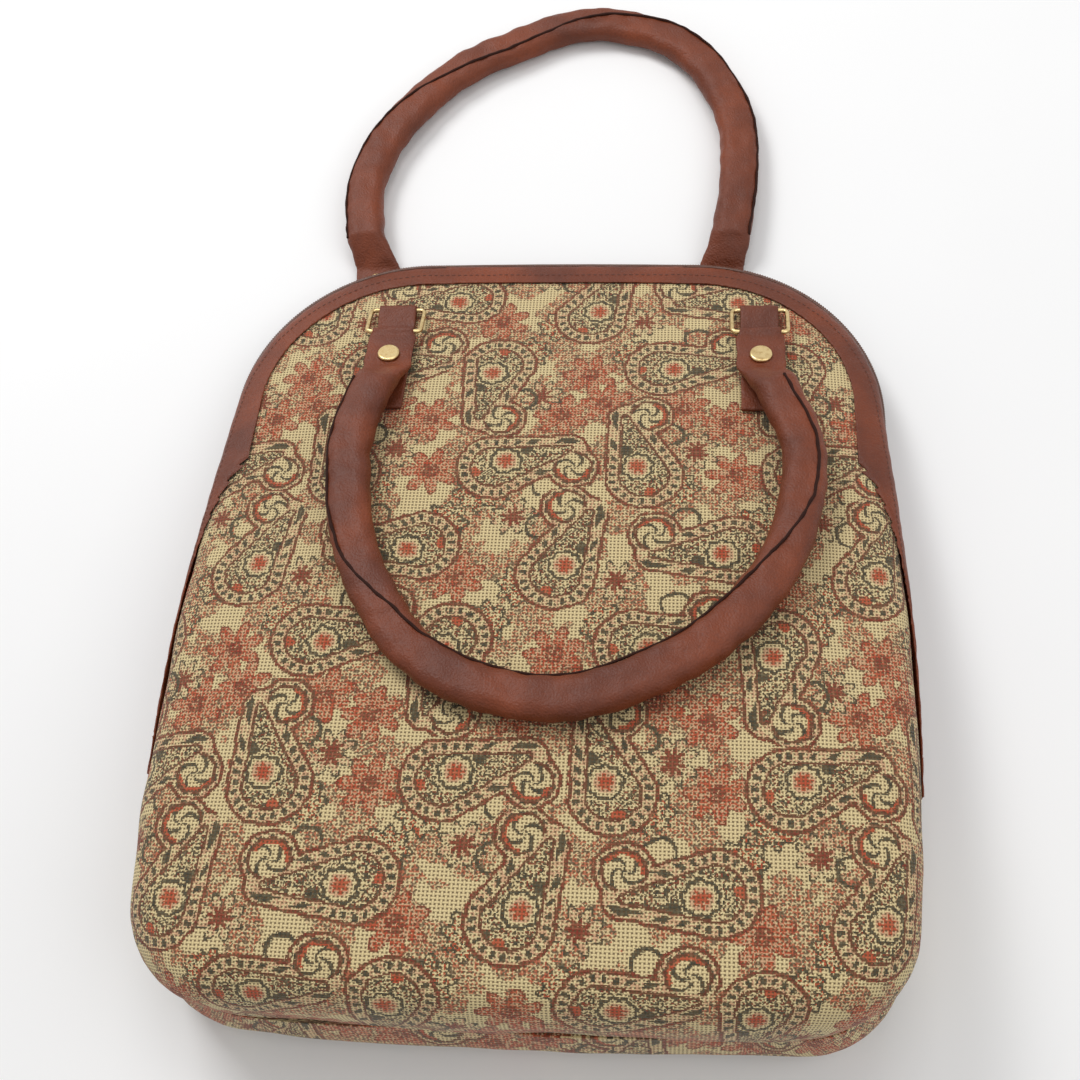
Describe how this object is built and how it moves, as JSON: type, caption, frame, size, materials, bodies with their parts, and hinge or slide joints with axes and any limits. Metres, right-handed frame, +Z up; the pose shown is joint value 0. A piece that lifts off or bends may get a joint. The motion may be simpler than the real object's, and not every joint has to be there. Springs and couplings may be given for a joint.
{
  "type": "tote bag",
  "caption": "Zipped tote bag lying on its back: boxed open-weave cloth with a paisley print, leather binding, tabs, wire rings and rolled handles.",
  "frame": {"origin": "middle of the bag's and handles' box, at the ground under it", "axes": "+X to the right seen from the front, +Y from the bag's bottom to its top, +Z up out of the front panel"},
  "size_m": [0.345, 0.5966, 0.0888],
  "materials": {
    "print_cloth": "open weave with a printed paisley",
    "lining_cloth": "plain weave",
    "leather": "soft sheen",
    "padding": "felted",
    "zip_tape": "woven tape",
    "zip_coil": "semi-gloss",
    "zip_metal": "aged",
    "ring_metal": "aged",
    "rivet_metal": "aged"
  },
  "bodies": {
    "bag": {"back_binding": "leather", "back_panel": "print_cloth", "front_binding": "leather", "front_panel": "print_cloth", "lining_back": "lining_cloth", "lining_front": "lining_cloth", "tab_back_left": "leather", "tab_back_right": "leather", "tab_front_left": "leather", "tab_front_right": "leather", "zip_coil_back": "zip_coil", "zip_coil_front": "zip_coil", "zip_stop_left": "zip_metal", "zip_stop_right": "zip_metal", "zip_tape_back": "zip_tape", "zip_tape_front": "zip_tape"},
    "slider": {"zip_slider": "zip_metal"},
    "puller": {"zip_puller": "zip_metal"},
    "ring_front_left": {"ring_front_left": "ring_metal"},
    "ring_front_right": {"ring_front_right": "ring_metal"},
    "handle_front": {"handle_front": "leather", "handle_core_front": "padding", "rivet_cap_front_left": "rivet_metal", "rivet_cap_front_right": "rivet_metal", "rivet_post_front_left": "rivet_metal", "rivet_post_front_right": "rivet_metal"},
    "ring_back_left": {"ring_back_left": "ring_metal"},
    "ring_back_right": {"ring_back_right": "ring_metal"},
    "handle_back": {"handle_back": "leather", "handle_core_back": "padding", "rivet_cap_back_left": "rivet_metal", "rivet_cap_back_right": "rivet_metal", "rivet_post_back_left": "rivet_metal", "rivet_post_back_right": "rivet_metal"}
  },
  "joints": [
    {"name": "slider_slide", "type": "slide", "parent": "bag", "child": "slider", "axis": [-0.0002, 0.9966, -0.0824], "range_m": [0, 0.15]},
    {"name": "puller_hinge", "type": "hinge", "parent": "slider", "child": "puller", "pos_m": [-0.17009, -0.17061, 0.03596], "axis": [0, -0.0824, -0.9966], "range_deg": [0, 150]},
    {"name": "front_left_ring_hinge", "type": "hinge", "parent": "bag", "child": "ring_front_left", "pos_m": [-0.0855, 0.0725, 0.0288], "axis": [-1, 0, 0], "range_deg": [0, 110]},
    {"name": "front_right_ring_hinge", "type": "hinge", "parent": "bag", "child": "ring_front_right", "pos_m": [0.1045, 0.0725, 0.0288], "axis": [-1, 0, 0], "range_deg": [0, 110]},
    {"name": "front_handle_hinge", "type": "hinge", "parent": "ring_front_left", "child": "handle_front", "pos_m": [-0.0855, 0.05533, 0.03541], "axis": [-1, 0, 0], "range_deg": [0, 60]},
    {"name": "back_left_ring_hinge", "type": "hinge", "parent": "bag", "child": "ring_back_left", "pos_m": [0.0855, 0.07037, 0.00307], "axis": [1, 0, 0], "range_deg": [-110, 0]},
    {"name": "back_right_ring_hinge", "type": "hinge", "parent": "bag", "child": "ring_back_right", "pos_m": [-0.1045, 0.07037, 0.00307], "axis": [1, 0, 0], "range_deg": [-110, 0]},
    {"name": "back_handle_hinge", "type": "hinge", "parent": "ring_back_left", "child": "handle_back", "pos_m": [0.0855, 0.08877, 0.0028], "axis": [1, 0, 0], "range_deg": [-60, 0]}
  ],
  "couplings": [
    {"joint": "front_right_ring_hinge", "follows": "front_left_ring_hinge", "ratio": 1},
    {"joint": "back_right_ring_hinge", "follows": "back_left_ring_hinge", "ratio": 1}
  ]
}
